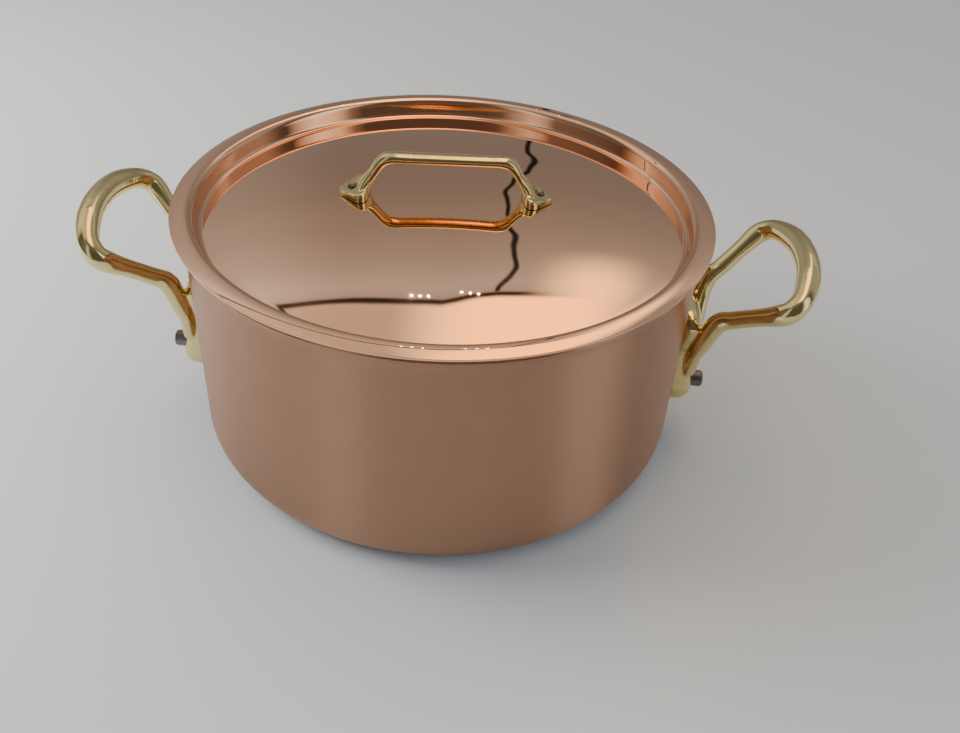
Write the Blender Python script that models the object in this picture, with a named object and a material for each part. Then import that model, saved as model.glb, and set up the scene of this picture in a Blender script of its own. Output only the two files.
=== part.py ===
"""Copper casserole pot with a recessed lid, two cast loop handles and a bow handle on the lid.

Units are metres, +Z is up. The origin is the centre of the pot's flat bottom and the side
handles lie along X. The lid rests on the flared lip and lifts straight up.
"""

import math

import bmesh
import bpy
from mathutils import Matrix, Vector

# Clearance and roundness
GAP = 0.0003
ROUND_STEPS = 64
CORNER_STEPS = 5
BEND_STEPS = 3
HOLE_STEPS = 16
SMALL_HOLE_STEPS = 12
SHARP_ANGLE = math.radians(35)
MITRE_LIMIT = 0.5
CUT_MARGIN = 0.02

# Pot body: a copper shell with a thin steel lining, both flared at the lip
POT_OUTER_RADIUS = 0.122
POT_COPPER_WALL = 0.0018
POT_LINING_WALL = 0.0008
POT_HEIGHT = 0.1221
POT_CORNER_RADIUS = 0.0165
LIP_FLARE_RADIUS = 0.0090
LIP_STRAIGHT = 0.0004
LIP_FLARE_ANGLE = math.radians(45)

# Lid: a copper shell over a thin steel lining, with a sunken domed panel
LID_OVERHANG = 0.0050
LID_OUTER_RADIUS = POT_OUTER_RADIUS + LID_OVERHANG
LID_COPPER_WALL = 0.0012
LID_LINING_WALL = 0.0007
LID_RIM_WIDTH = 0.0072
LID_RIM_SLOPE = math.radians(9)
LID_RIM_CURVE = math.radians(6)
LID_LINING_SETBACK = 0.0024
LID_CREST_RADIUS = 0.0034
LID_WALL_DEPTH = 0.0045
LID_WALL_LEAN = math.radians(10)
LID_FILLET_RADIUS = 0.0022
LID_DOME_SLOPE = math.radians(10.9)
LID_TURN = math.radians(4.3)

# Side handles: a round bar that runs up both edges of a tongue and out into a tilted loop
TONGUE_TOP_HEIGHT = 0.0765
LOOP_ROOT_STANDOFF = 0.0140
LOOP_ROOT_RISE = 0.0023
LOOP_ROOT_HEIGHT = TONGUE_TOP_HEIGHT + LOOP_ROOT_RISE
LOOP_ROOT_HALF_WIDTH = 0.0210
LOOP_TILT = math.radians(36.8)
LOOP_REACH = 0.0479
LOOP_HALF_WIDTH = 0.0374
LOOP_GRIP_RADIUS = 0.0058
LOOP_CORNER_RADIUS = 0.0052
LOOP_ARM_RADIUS = 0.0044
LOOP_ROOT_RADIUS = 0.0049
LOOP_TAIL_RADIUS = 0.0038
LOOP_STATIONS = 52
LOOP_SIDES = 12
TONGUE_LOBE_HEIGHT = 0.0262
TONGUE_LOBE_RADIUS = 0.0098
TONGUE_TOP_HALF_WIDTH = 0.0180
TONGUE_WAIST_HALF_WIDTH = 0.0076
TONGUE_THICKNESS = 0.0120
TONGUE_TOP_THICKNESS = 0.0080
TONGUE_BELLY = 0.4
TONGUE_FULLNESS = 0.8
TONGUE_SIDES = 16
LEFT_HANDLE_LEAN = math.radians(6.2)
LEFT_HANDLE_DROP = 0.0016
HANDLE_LEAN_HEIGHT = 0.0620
HANDLE_LEAN_STANDOFF = 0.0080

# Side handle rivets
RIVET_RADIUS = 0.0043
LOWER_RIVET_PROUD = 0.0058
UPPER_RIVET_PROUD = 0.0006
RIVET_DISH = 0.0006
RIVET_HEAD_RADIUS = 0.0070
RIVET_HEAD_HEIGHT = 0.0022
RIVET_EDGE_SHARE = 0.12
LOWER_RIVET_RISE = 0.0020
LOWER_RIVET_HEIGHT = TONGUE_LOBE_HEIGHT + LOWER_RIVET_RISE
UPPER_RIVET_DROP = 0.0105
UPPER_RIVET_HEIGHT = TONGUE_TOP_HEIGHT - UPPER_RIVET_DROP

# Side name, turn about Z, lean and drop of its casting
SIDES = (("right", 0.0, 0.0, 0.0), ("left", math.pi, LEFT_HANDLE_LEAN, LEFT_HANDLE_DROP))

# Lid handle: a slim bow whose legs widen into two pointed feet
BOW_HEIGHT = 0.0200
BOW_LEAN = 0.0016
BOW_TOP_HALF_SPAN = 0.0290
BOW_FOOT_HALF_SPAN = 0.0405
BOW_BAR_WIDTH = 0.0080
BOW_BAR_THICKNESS = 0.0046
BOW_LEG_THICKNESS = 0.0088
BOW_FLARE_WIDTH = 0.0236
BOW_STATIONS = 40
BOW_SIDES = 12
FOOT_TIP_HALF_SPAN = 0.0508
FOOT_INNER_HALF_SPAN = 0.0365
FOOT_HALF_WIDTH = 0.0120
FOOT_ROOT_THICKNESS = 0.0048
FOOT_TIP_THICKNESS = 0.0020
FOOT_EDGE_BEVEL = 0.0012
FOOT_SINK = 0.005
LID_RIVET_HALF_SPAN = 0.0442
LID_RIVET_RADIUS = 0.0021
LID_RIVET_PROUD = 0.0007
LID_RIVET_DISH = 0.0004
LID_RIVET_HEAD_RADIUS = 0.0042
LID_RIVET_HEAD_HEIGHT = 0.0014

# Colours, roughness and metallic values
COPPER = ((0.86, 0.46, 0.32), 0.10, 1.0)
LINING_STEEL = ((0.62, 0.62, 0.61), 0.30, 1.0)
CAST_BRASS = ((0.78, 0.62, 0.30), 0.12, 1.0)
RIVET_STEEL = ((0.42, 0.42, 0.40), 0.35, 1.0)


def clear_scene():
    for old in list(bpy.data.objects):
        bpy.data.objects.remove(old, do_unlink=True)


def make_material(name, look):
    colour, roughness, metallic = look
    material = bpy.data.materials.new(name)
    material.use_nodes = True
    shader = material.node_tree.nodes["Principled BSDF"]
    shader.inputs["Base Color"].default_value = (*colour, 1.0)
    shader.inputs["Roughness"].default_value = roughness
    shader.inputs["Metallic"].default_value = metallic
    return material


def link(name, mesh, material=None, parent=None):
    piece = bpy.data.objects.new(name, mesh)
    bpy.context.scene.collection.objects.link(piece)
    if material is not None and not mesh.materials:
        mesh.materials.append(material)
    if parent is not None:
        piece.parent = parent
    return piece


def mesh_from(bm, name):
    bmesh.ops.recalc_face_normals(bm, faces=bm.faces)
    mesh = bpy.data.meshes.new(name)
    bm.to_mesh(mesh)
    bm.free()
    mesh.shade_smooth()
    mesh.set_sharp_from_angle(angle=SHARP_ANGLE)
    return mesh


def hide_as_cutter(piece):
    piece.hide_render = True
    piece.display_type = "WIRE"


def arc(centre, radius, start_deg, end_deg, steps):
    """Points (r, z) along an arc, both ends included."""
    points = []
    for step in range(steps + 1):
        angle = math.radians(start_deg + (end_deg - start_deg) * step / steps)
        points.append((centre[0] + radius * math.cos(angle), centre[1] + radius * math.sin(angle)))
    return points


def offset_line(points, distance):
    """Shift an open (r, z) line to its left by a distance, keeping ends on the axis there."""
    shifted = []
    last = len(points) - 1
    for index, point in enumerate(points):
        before = points[max(index - 1, 0)]
        after = points[min(index + 1, last)]
        into = Vector((point[0] - before[0], point[1] - before[1]))
        out = Vector((after[0] - point[0], after[1] - point[1]))
        into = into.normalized() if into.length else out.normalized()
        out = out.normalized() if out.length else into
        normal_in = Vector((-into.y, into.x))
        normal_out = Vector((-out.y, out.x))
        normal = (normal_in + normal_out).normalized()
        reach = distance / max(normal.dot(normal_in), MITRE_LIMIT)
        radius = 0.0 if point[0] == 0.0 else point[0] + normal.x * reach
        shifted.append((radius, point[1] + normal.y * reach))
    return shifted


def revolve(name, profile, steps=ROUND_STEPS):
    """Turn a closed (r, z) outline about the Z axis into one solid."""
    bm = bmesh.new()
    verts = [bm.verts.new((radius, 0.0, height)) for radius, height in profile]
    edges = [bm.edges.new((verts[i], verts[(i + 1) % len(verts)])) for i in range(len(verts))
             if profile[i][0] > 0.0 or profile[(i + 1) % len(verts)][0] > 0.0]
    bmesh.ops.spin(bm, geom=verts + edges, cent=(0, 0, 0), axis=(0, 0, 1),
                   angle=math.tau, steps=steps, use_merge=True, use_duplicate=False)
    bmesh.ops.remove_doubles(bm, verts=bm.verts, dist=1e-6)
    return mesh_from(bm, name)


def sheet_solid(name, line, near, far):
    """A sheet between two offsets of one (r, z) line, turned about Z."""
    return revolve(name, offset_line(line, near) + list(reversed(offset_line(line, far))))


def cylinder_between(bm, start, end, radius, sides):
    """A closed cylinder from one point to another."""
    axis = Vector(end) - Vector(start)
    turn = Vector((0, 0, 1)).rotation_difference(axis).to_matrix().to_4x4()
    middle = Matrix.Translation((Vector(start) + Vector(end)) / 2) @ turn
    bmesh.ops.create_cone(bm, cap_ends=True, segments=sides, radius1=radius, radius2=radius,
                          depth=axis.length, matrix=middle)


def bridge(bm, rings):
    """Close a row of rings of points into one solid skin."""
    sides = len(rings[0])
    for ring, following in zip(rings, rings[1:]):
        for step in range(sides):
            nxt = (step + 1) % sides
            bm.faces.new((ring[step], ring[nxt], following[nxt], following[step]))
    bm.faces.new(rings[0])
    bm.faces.new(rings[-1])


def sweep(name, stations, sides):
    """Loft ellipses along stations of (point, tangent, side hint, half side, half across)."""
    bm = bmesh.new()
    rings = []
    for point, tangent, hint, half_side, half_across in stations:
        side = (hint - tangent * hint.dot(tangent)).normalized()
        across = tangent.cross(side)
        ring = []
        for step in range(sides):
            angle = math.tau * (step + 0.5) / sides
            shift = side * (half_side * math.cos(angle)) + across * (half_across * math.sin(angle))
            ring.append(bm.verts.new(point + shift))
        rings.append(ring)
    bridge(bm, rings)
    return mesh_from(bm, name)


def curve_row(points, place):
    """One row of numbers on the Catmull-Rom line through rows, at a place counted in spans."""
    spans = len(points) - 1
    index = min(int(place), spans - 1)
    t = place - index
    picks = [points[min(max(index + shift, 0), spans)] for shift in (-1, 0, 1, 2)]
    return [0.5 * (2 * p1 + (p2 - p0) * t + (2 * p0 - 5 * p1 + 4 * p2 - p3) * t ** 2
                   + (3 * p1 - p0 - 3 * p2 + p3) * t ** 3) for p0, p1, p2, p3 in zip(*picks)]


def smooth_line(points, axes, count):
    """Rows along the smooth line through rows whose first axes are a position.

    Half of the spacing follows the length and half the given rows, so tight bends get more.
    """
    spans = len(points) - 1
    fine = 20 * spans
    rows = [curve_row(points, spans * step / fine) for step in range(fine + 1)]
    steps = [math.dist(before[:axes], after[:axes]) for before, after in zip(rows, rows[1:])]
    mean = sum(steps) / fine
    reached = [0.0]
    for step in steps:
        reached.append(reached[-1] + step + mean)
    line = []
    index = 0
    for step in range(count):
        wanted = reached[-1] * step / (count - 1)
        while index < fine - 1 and reached[index + 1] < wanted:
            index += 1
        share = (wanted - reached[index]) / (reached[index + 1] - reached[index])
        line.append([low + (high - low) * share for low, high in zip(rows[index], rows[index + 1])])
    return line


def tangents(line):
    last = len(line) - 1
    return [(line[min(i + 1, last)] - line[max(i - 1, 0)]).normalized() for i in range(len(line))]


def blend(points, value):
    """Read a value from (place, value) pairs with straight lines between them."""
    for (left, low), (right, high) in zip(points, points[1:]):
        if value <= right:
            return low + (high - low) * max(value - left, 0.0) / (right - left)
    return points[-1][1]


def boolean(piece, cutter, operation):
    modifier = piece.modifiers.new(operation.lower(), "BOOLEAN")
    modifier.operation = operation
    modifier.solver = "EXACT"
    modifier.object = cutter
    hide_as_cutter(cutter)


def pot_sheet():
    """Thickness of the pot's two walls with the gap between them."""
    return POT_COPPER_WALL + GAP + POT_LINING_WALL


def lip_seat_radius():
    """Radius of the lining's top edge, on which the lid rests."""
    flare_run = LIP_FLARE_RADIUS * (1 - math.cos(LIP_FLARE_ANGLE))
    straight_run = LIP_STRAIGHT * math.sin(LIP_FLARE_ANGLE)
    return POT_OUTER_RADIUS + flare_run + straight_run - pot_sheet() * math.cos(LIP_FLARE_ANGLE)


def pot_line():
    """Outer (r, z) line of the pot, from the bottom centre up to the lip."""
    straight = (LIP_STRAIGHT * math.sin(LIP_FLARE_ANGLE), LIP_STRAIGHT * math.cos(LIP_FLARE_ANGLE))
    lip_rise = pot_sheet() * math.sin(LIP_FLARE_ANGLE)
    flare_rise = LIP_FLARE_RADIUS * math.sin(LIP_FLARE_ANGLE) + straight[1]
    corner = (POT_OUTER_RADIUS - POT_CORNER_RADIUS, POT_CORNER_RADIUS)
    flare = (POT_OUTER_RADIUS + LIP_FLARE_RADIUS, POT_HEIGHT - lip_rise - flare_rise)
    line = [(0.0, 0.0)]
    line += arc(corner, POT_CORNER_RADIUS, -90, 0, CORNER_STEPS)
    line += arc(flare, LIP_FLARE_RADIUS, 180, 180 - math.degrees(LIP_FLARE_ANGLE), BEND_STEPS)
    line.append((line[-1][0] + straight[0], line[-1][1] + straight[1]))
    return line


def lid_sheet():
    """Thickness of the lid's two skins with the gap between them."""
    return LID_COPPER_WALL + GAP + LID_LINING_WALL


def lid_shape():
    """Top (r, z) line of the lid at no set height, from its outer edge in to the centre."""
    wall_angle = math.pi / 2 - LID_WALL_LEAN
    inner_slope = LID_RIM_SLOPE - LID_RIM_CURVE
    outer_slope = LID_RIM_SLOPE + LID_RIM_CURVE
    rim_radius = LID_RIM_WIDTH / (2 * math.sin(LID_RIM_CURVE))
    rim_centre = (LID_OUTER_RADIUS - rim_radius * math.sin(outer_slope),
                  -rim_radius * math.cos(outer_slope))
    line = arc(rim_centre, rim_radius, 90 - math.degrees(outer_slope),
               90 - math.degrees(inner_slope), 2)
    shoulder = line.pop()
    crest = (shoulder[0] - LID_CREST_RADIUS * math.sin(inner_slope),
             shoulder[1] - LID_CREST_RADIUS * math.cos(inner_slope))
    line += arc(crest, LID_CREST_RADIUS, 90 - math.degrees(inner_slope),
                90 + math.degrees(wall_angle), CORNER_STEPS)
    foot = (line[-1][0] - LID_WALL_DEPTH * math.cos(wall_angle),
            line[-1][1] - LID_WALL_DEPTH * math.sin(wall_angle))
    hollow = (foot[0] - LID_FILLET_RADIUS * math.sin(wall_angle),
              foot[1] + LID_FILLET_RADIUS * math.cos(wall_angle))
    line += arc(hollow, LID_FILLET_RADIUS, math.degrees(wall_angle) - 90,
                -90 - math.degrees(LID_DOME_SLOPE), BEND_STEPS)
    dome_radius = line[-1][0] / math.sin(LID_DOME_SLOPE)
    dome_centre = (0.0, line[-1][1] - dome_radius * math.cos(LID_DOME_SLOPE))
    dome = arc(dome_centre, dome_radius, 90 - math.degrees(LID_DOME_SLOPE), 90, CORNER_STEPS)[1:]
    dome[-1] = (0.0, dome[-1][1])
    return line + dome


def lid_line():
    """The lid's top line at the height where its underside rests on the lip."""
    shape = lid_shape()
    under = offset_line(shape, lid_sheet())
    seat = [point for point in under if point[0] > LID_OUTER_RADIUS - LID_RIM_WIDTH - LID_CREST_RADIUS]
    lift = POT_HEIGHT + GAP - blend(sorted(seat), lip_seat_radius())
    return [(radius, height + lift) for radius, height in shape]


def lid_lining_line():
    """The part of the lid's line that is lined, which stops short of the outer edge."""
    line = lid_line()
    end = LID_OUTER_RADIUS - LID_LINING_SETBACK
    rim = [point for point in line if point[0] > LID_OUTER_RADIUS - LID_RIM_WIDTH - LID_CREST_RADIUS]
    start = (end, blend(sorted(rim), end))
    return [start] + [point for point in line if point[0] < end - LID_LINING_SETBACK / 4]


def lid_top_at(radius):
    """Height of the lid's domed panel at a distance from its axis."""
    line = [point for point in lid_line() if point[0] < LID_OUTER_RADIUS - LID_RIM_WIDTH]
    panel = sorted(line)
    return blend(panel, radius)


def loop_stations(count=LOOP_STATIONS):
    """Bar of a side handle at +X: up one edge of the tongue, round the loop and down again."""
    root_radius = POT_OUTER_RADIUS + LOOP_ROOT_STANDOFF
    drop = LOOP_ROOT_HEIGHT - TONGUE_LOBE_HEIGHT
    # share of the drop, share of the standoff, share of the root's half width, bar radius
    tail = [(0.81, 0.57, 0.26, LOOP_TAIL_RADIUS), (0.58, 0.64, 0.38, LOOP_TAIL_RADIUS),
            (0.36, 0.71, 0.62, LOOP_ROOT_RADIUS), (0.17, 0.80, 0.85, LOOP_ROOT_RADIUS)]
    # share of the reach, share of the loop's half width, bar radius
    root_share = LOOP_ROOT_HALF_WIDTH / LOOP_HALF_WIDTH
    arm = [(0.0, root_share, LOOP_ROOT_RADIUS), (0.14, 0.64, LOOP_ARM_RADIUS),
           (0.41, 0.84, LOOP_ARM_RADIUS), (0.59, 0.975, LOOP_CORNER_RADIUS),
           (0.70, 1.0, LOOP_CORNER_RADIUS), (0.83, 0.87, LOOP_CORNER_RADIUS),
           (0.937, 0.56, LOOP_GRIP_RADIUS), (0.987, 0.27, LOOP_GRIP_RADIUS)]
    half = []
    for down, out, across, bar in tail:
        half.append((POT_OUTER_RADIUS + out * LOOP_ROOT_STANDOFF, across * LOOP_ROOT_HALF_WIDTH,
                     LOOP_ROOT_HEIGHT - down * drop, bar))
    for along, across, bar in arm:
        half.append((root_radius + along * LOOP_REACH * math.cos(LOOP_TILT),
                     across * LOOP_HALF_WIDTH,
                     LOOP_ROOT_HEIGHT + along * LOOP_REACH * math.sin(LOOP_TILT), bar))
    tip = (root_radius + LOOP_REACH * math.cos(LOOP_TILT), 0.0,
           LOOP_ROOT_HEIGHT + LOOP_REACH * math.sin(LOOP_TILT), LOOP_GRIP_RADIUS)
    rows = half + [tip] + [(x, -y, z, bar) for x, y, z, bar in reversed(half)]
    rows = smooth_line(rows, 3, count)
    line = [Vector(row[:3]) for row in rows]
    hint = Vector((-math.sin(LOOP_TILT), 0.0, math.cos(LOOP_TILT)))
    return [(point, tangent, hint, row[3], row[3])
            for point, tangent, row in zip(line, tangents(line), rows)]


def tongue_rows():
    """Height, half width and thickness of the tongue, from its top to the bottom of its lobe."""
    wide = TONGUE_TOP_HALF_WIDTH
    waist = TONGUE_WAIST_HALF_WIDTH
    lobe = TONGUE_LOBE_RADIUS
    waist_height = TONGUE_LOBE_HEIGHT + 2 * lobe
    span = TONGUE_TOP_HEIGHT - waist_height
    # share of the height above the waist, half width, share of the full thickness
    upper = [(1.0, 0.55 * wide, 0.45), (0.97, 0.80 * wide, 0.80), (0.88, 0.95 * wide, 1.0),
             (0.75, wide, 1.0), (0.35, 0.4 * wide + 0.6 * waist, 1.0), (0.12, 1.05 * waist, 1.0),
             (0.0, waist, 1.0), (-0.3, 1.1 * waist, 1.0)]
    rows = []
    for up, half_width, share in upper:
        height = waist_height + up * span
        rows.append((height, half_width, share * tongue_thickness(height)))
    for degrees in (-20, 0, 22, 42, 58, 71, 82):
        angle = math.radians(degrees)
        depth = TONGUE_THICKNESS * min(1.0, math.cos(max(angle, 0.0))) ** 0.5
        rows.append((TONGUE_LOBE_HEIGHT - lobe * math.sin(angle), lobe * math.cos(angle), depth))
    return rows


def tongue_ring(height, half_width, thickness, lean):
    """One level outline of the tongue: full in front, drawn in again where it meets the wall."""
    middle = POT_OUTER_RADIUS + TONGUE_BELLY * thickness
    front = (1 - TONGUE_BELLY) * thickness
    back = 2 * TONGUE_BELLY * thickness + max(HANDLE_LEAN_HEIGHT - height, 0.0) * math.tan(lean)
    points = []
    for step in range(TONGUE_SIDES):
        angle = math.tau * (step + 0.5) / TONGUE_SIDES
        along = math.copysign(abs(math.cos(angle)) ** TONGUE_FULLNESS, math.cos(angle))
        across = math.copysign(abs(math.sin(angle)) ** TONGUE_FULLNESS, math.sin(angle))
        reach = front if along > 0.0 else back
        points.append((middle + along * reach, across * half_width, height))
    return points


def tongue_mesh(name, lean):
    """The tongue as a round paddle that reaches into the wall, which then cuts it to fit."""
    bm = bmesh.new()
    rings = []
    for height, half_width, thickness in tongue_rows():
        ring = tongue_ring(height, half_width, thickness, lean)
        rings.append([bm.verts.new(point) for point in ring])
    bridge(bm, rings)
    return mesh_from(bm, name)


def casting_place(lean, drop):
    """Lean a casting at +X about a level line through its tongue, top inwards, and lower it."""
    pivot = Vector((POT_OUTER_RADIUS + HANDLE_LEAN_STANDOFF, 0.0, HANDLE_LEAN_HEIGHT))
    lowered = pivot - Vector((0.0, 0.0, drop))
    return (Matrix.Translation(lowered) @ Matrix.Rotation(-lean, 4, "Y")
            @ Matrix.Translation(-pivot))


def tongue_thickness(height):
    """Thickness of the tongue at a height, which thins from its lobe to its top."""
    return blend(((TONGUE_LOBE_HEIGHT, TONGUE_THICKNESS), (TONGUE_TOP_HEIGHT, TONGUE_TOP_THICKNESS)),
                 height)


def tongue_face_radius(height, lean, drop):
    """Distance of the tongue's outer face from the pot's axis at a height."""
    face = tongue_thickness(height) - HANDLE_LEAN_STANDOFF
    below = HANDLE_LEAN_HEIGHT - drop - height
    return (POT_OUTER_RADIUS + HANDLE_LEAN_STANDOFF + face / math.cos(lean)
            + below * math.tan(lean))


def wall_cutter():
    """Everything inside the pot's outer face and its lip, grown by the gap."""
    line = offset_line(pot_line(), -GAP)
    lip = line[-1]
    profile = [(0.0, -CUT_MARGIN), (line[1][0], -CUT_MARGIN)] + line[1:]
    profile += [(lip[0], lip[1] + CUT_MARGIN), (0.0, lip[1] + CUT_MARGIN)]
    return link("cut_wall", revolve("cut_wall", profile))


def hole_cutter(name, side, heights):
    """Clearance holes along X for the rivets of one side, through handle and walls."""
    near = side * (POT_OUTER_RADIUS - CUT_MARGIN)
    far = side * (POT_OUTER_RADIUS + TONGUE_THICKNESS + CUT_MARGIN)
    bm = bmesh.new()
    for height in heights:
        cylinder_between(bm, (near, 0.0, height), (far, 0.0, height), RIVET_RADIUS + GAP,
                         HOLE_STEPS)
    return link(name, mesh_from(bm, name))


def rivet_profile(radius, proud_end, inner_face, head_radius, head_height, dish):
    """Half outline (r, x) of a rivet: dished outer end, shank, and domed inner head."""
    bevel = RIVET_EDGE_SHARE * radius
    outline = [(0.0, proud_end - dish), (0.55 * radius, proud_end - 0.7 * dish)]
    outline.append((0.75 * radius, proud_end))
    outline += [(radius - bevel, proud_end), (radius, proud_end - bevel), (radius, inner_face)]
    outline.append((head_radius, inner_face))
    for angle in (math.radians(30), math.radians(60)):
        outline.append((head_radius * math.cos(angle), inner_face - head_height * math.sin(angle)))
    outline.append((0.0, inner_face - head_height))
    return outline


def lining_inner_radius():
    return POT_OUTER_RADIUS - pot_sheet()


def build_pot(root, hole_tools):
    copper = make_material("copper", COPPER)
    steel = make_material("lining_steel", LINING_STEEL)
    line = pot_line()
    near = POT_COPPER_WALL + GAP
    shell = link("pot_shell", sheet_solid("pot_shell", line, 0.0, POT_COPPER_WALL), copper, root)
    lining = link("pot_lining", sheet_solid("pot_lining", line, near, near + POT_LINING_WALL),
                  steel, root)
    for tool in hole_tools:
        boolean(shell, tool, "DIFFERENCE")
        boolean(lining, tool, "DIFFERENCE")


def build_side_handles(root, hole_tools):
    brass = make_material("cast_brass", CAST_BRASS)
    wall = wall_cutter()
    for (side, turn, lean, drop), holes in zip(SIDES, hole_tools):
        place = Matrix.Rotation(turn, 4, "Z") @ casting_place(lean, drop)
        bar = sweep("side_handle_" + side, loop_stations(), LOOP_SIDES)
        bar.transform(place)
        tongue = tongue_mesh("tongue_" + side, lean)
        tongue.transform(place)
        handle = link("side_handle_" + side, bar, brass, root)
        boolean(handle, link("tongue_" + side, tongue), "UNION")
        boolean(handle, wall, "DIFFERENCE")
        boolean(handle, holes, "DIFFERENCE")


def build_side_rivets(root):
    steel = make_material("rivet_steel", RIVET_STEEL)
    inner = lining_inner_radius()
    # the flat underside of the head meets the round lining at its two sides first
    seat = math.sqrt(inner ** 2 - RIVET_HEAD_RADIUS ** 2) - GAP
    for side, turn, lean, drop in SIDES:
        for level, height, proud in (("lower", LOWER_RIVET_HEIGHT, LOWER_RIVET_PROUD),
                                     ("upper", UPPER_RIVET_HEIGHT, UPPER_RIVET_PROUD)):
            outer = tongue_face_radius(height, lean, drop) + proud
            name = f"{side}_{level}_rivet"
            mesh = revolve(name, rivet_profile(RIVET_RADIUS, outer, seat, RIVET_HEAD_RADIUS,
                                               RIVET_HEAD_HEIGHT, RIVET_DISH), HOLE_STEPS)
            mesh.transform(Matrix.Rotation(math.pi / 2, 4, "Y"))
            rivet = link(name, mesh, steel, root)
            rivet.rotation_euler.z = turn
            rivet.location.z = height


def build_lid(lid_axis):
    copper = make_material("lid_copper", COPPER)
    steel = make_material("lid_lining_steel", LINING_STEEL)
    near = LID_COPPER_WALL + GAP
    shell = link("lid_shell", sheet_solid("lid_shell", lid_line(), 0.0, LID_COPPER_WALL), copper,
                 lid_axis)
    lining = link("lid_lining", sheet_solid("lid_lining", lid_lining_line(), near,
                                            near + LID_LINING_WALL), steel, lid_axis)
    holes = lid_hole_cutter(lid_axis)
    boolean(shell, holes, "DIFFERENCE")
    boolean(lining, holes, "DIFFERENCE")
    return holes


def lid_hole_cutter(lid_axis):
    bm = bmesh.new()
    middle = lid_top_at(LID_RIVET_HALF_SPAN)
    for side in (-1, 1):
        cylinder_between(bm, (side * LID_RIVET_HALF_SPAN, 0.0, middle - CUT_MARGIN),
                         (side * LID_RIVET_HALF_SPAN, 0.0, middle + CUT_MARGIN),
                         LID_RIVET_RADIUS + GAP, SMALL_HOLE_STEPS)
    return link("cut_lid_holes", mesh_from(bm, "cut_lid_holes"), None, lid_axis)


def bow_stations(count=BOW_STATIONS):
    """Bar of the lid handle, from the left foot over the top to the right foot."""
    base = lid_top_at(BOW_FOOT_HALF_SPAN)
    top = lid_top_at(0.0) + BOW_HEIGHT - BOW_BAR_THICKNESS / 2
    spread = BOW_FOOT_HALF_SPAN - BOW_TOP_HALF_SPAN
    bar = BOW_BAR_WIDTH / 2
    flare = BOW_FLARE_WIDTH / 2
    thin = BOW_BAR_THICKNESS / 2
    thick = BOW_LEG_THICKNESS / 2
    # share of the rise, share of the spread, half width, half thickness
    leg = [(-0.10, 0.96, flare, thick), (0.06, 0.92, 0.96 * flare, 0.86 * thick),
           (0.17, 0.87, 0.80 * flare, 0.72 * thick), (0.29, 0.78, 0.52 * flare, 0.62 * thick),
           (0.42, 0.64, 1.1 * bar, 0.54 * thick), (0.57, 0.47, bar, 0.5 * thick),
           (0.75, 0.29, bar, thin), (0.89, 0.11, bar, 1.12 * thin),
           (0.965, -0.09, bar, 1.14 * thin), (1.0, -0.42, bar, 1.06 * thin),
           (1.0, -0.90, bar, thin)]
    half = [(-(BOW_TOP_HALF_SPAN + out * spread), base + up * (top - base), wide, deep)
            for up, out, wide, deep in leg]
    rows = half + [(0.0, top, bar, thin)] + [(-x, z, w, d) for x, z, w, d in reversed(half)]
    rows = smooth_line(rows, 2, count)
    # the bow leans towards the front as it rises
    line = [Vector((x, -BOW_LEAN * (z - base) / (top - base), z)) for x, z, wide, deep in rows]
    hint = Vector((0.0, 1.0, 0.0))
    return [(point, tangent, hint, row[2], row[3])
            for point, tangent, row in zip(line, tangents(line), rows)]


def foot_top_at(radius):
    """Height of the foot's top face, a wedge on the dome that thins towards its tip."""
    share = (radius - FOOT_INNER_HALF_SPAN) / (FOOT_TIP_HALF_SPAN - FOOT_INNER_HALF_SPAN)
    thickness = FOOT_ROOT_THICKNESS + share * (FOOT_TIP_THICKNESS - FOOT_ROOT_THICKNESS)
    return lid_top_at(radius) + thickness


def foot_mesh(side):
    """Pointed foot wedge, deep enough to be cut to the dome below it."""
    low = lid_top_at(FOOT_TIP_HALF_SPAN) - FOOT_SINK
    inner = FOOT_INNER_HALF_SPAN
    length = FOOT_TIP_HALF_SPAN - inner
    wide = FOOT_HALF_WIDTH
    # share of the foot's length, share of its half width
    half = [(0.0, 0.0), (0.02, 0.72), (0.08, 0.88), (0.17, 0.97), (0.28, 1.0), (0.40, 0.92),
            (0.54, 0.77), (0.70, 0.58), (0.86, 0.38), (0.96, 0.22), (1.0, 0.0)]
    outline = half + [(along, -across) for along, across in reversed(half[1:-1])]
    bm = bmesh.new()
    face = bm.faces.new([bm.verts.new((side * (inner + along * length), across * wide, low))
                         for along, across in outline])
    moved = bmesh.ops.extrude_face_region(bm, geom=[face])["geom"]
    upper = [item for item in moved if isinstance(item, bmesh.types.BMVert)]
    for vert in upper:
        vert.co.z = foot_top_at(abs(vert.co.x))
    rim = [edge for edge in bm.edges if all(vert in upper for vert in edge.verts)]
    bmesh.ops.bevel(bm, geom=rim, offset=FOOT_EDGE_BEVEL, segments=2, profile=0.5,
                    affect="EDGES", clamp_overlap=True)
    return mesh_from(bm, "foot")


def dome_cutter(lid_axis):
    """Everything under the lid's top face, grown by the gap."""
    line = offset_line(lid_line(), -GAP)
    rim = line[0][0]
    low = lid_top_at(LID_OUTER_RADIUS / 2) - 2 * CUT_MARGIN
    profile = [(0.0, low), (rim, low)] + line
    return link("cut_dome", revolve("cut_dome", profile), None, lid_axis)


def build_lid_handle(lid_axis, holes):
    brass = make_material("lid_brass", CAST_BRASS)
    bow = link("lid_handle", sweep("lid_handle", bow_stations(), BOW_SIDES), brass, lid_axis)
    for side, name in ((-1, "left_foot"), (1, "right_foot")):
        foot = link(name, foot_mesh(side), None, lid_axis)
        boolean(bow, foot, "UNION")
    boolean(bow, dome_cutter(lid_axis), "DIFFERENCE")
    boolean(bow, holes, "DIFFERENCE")


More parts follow.
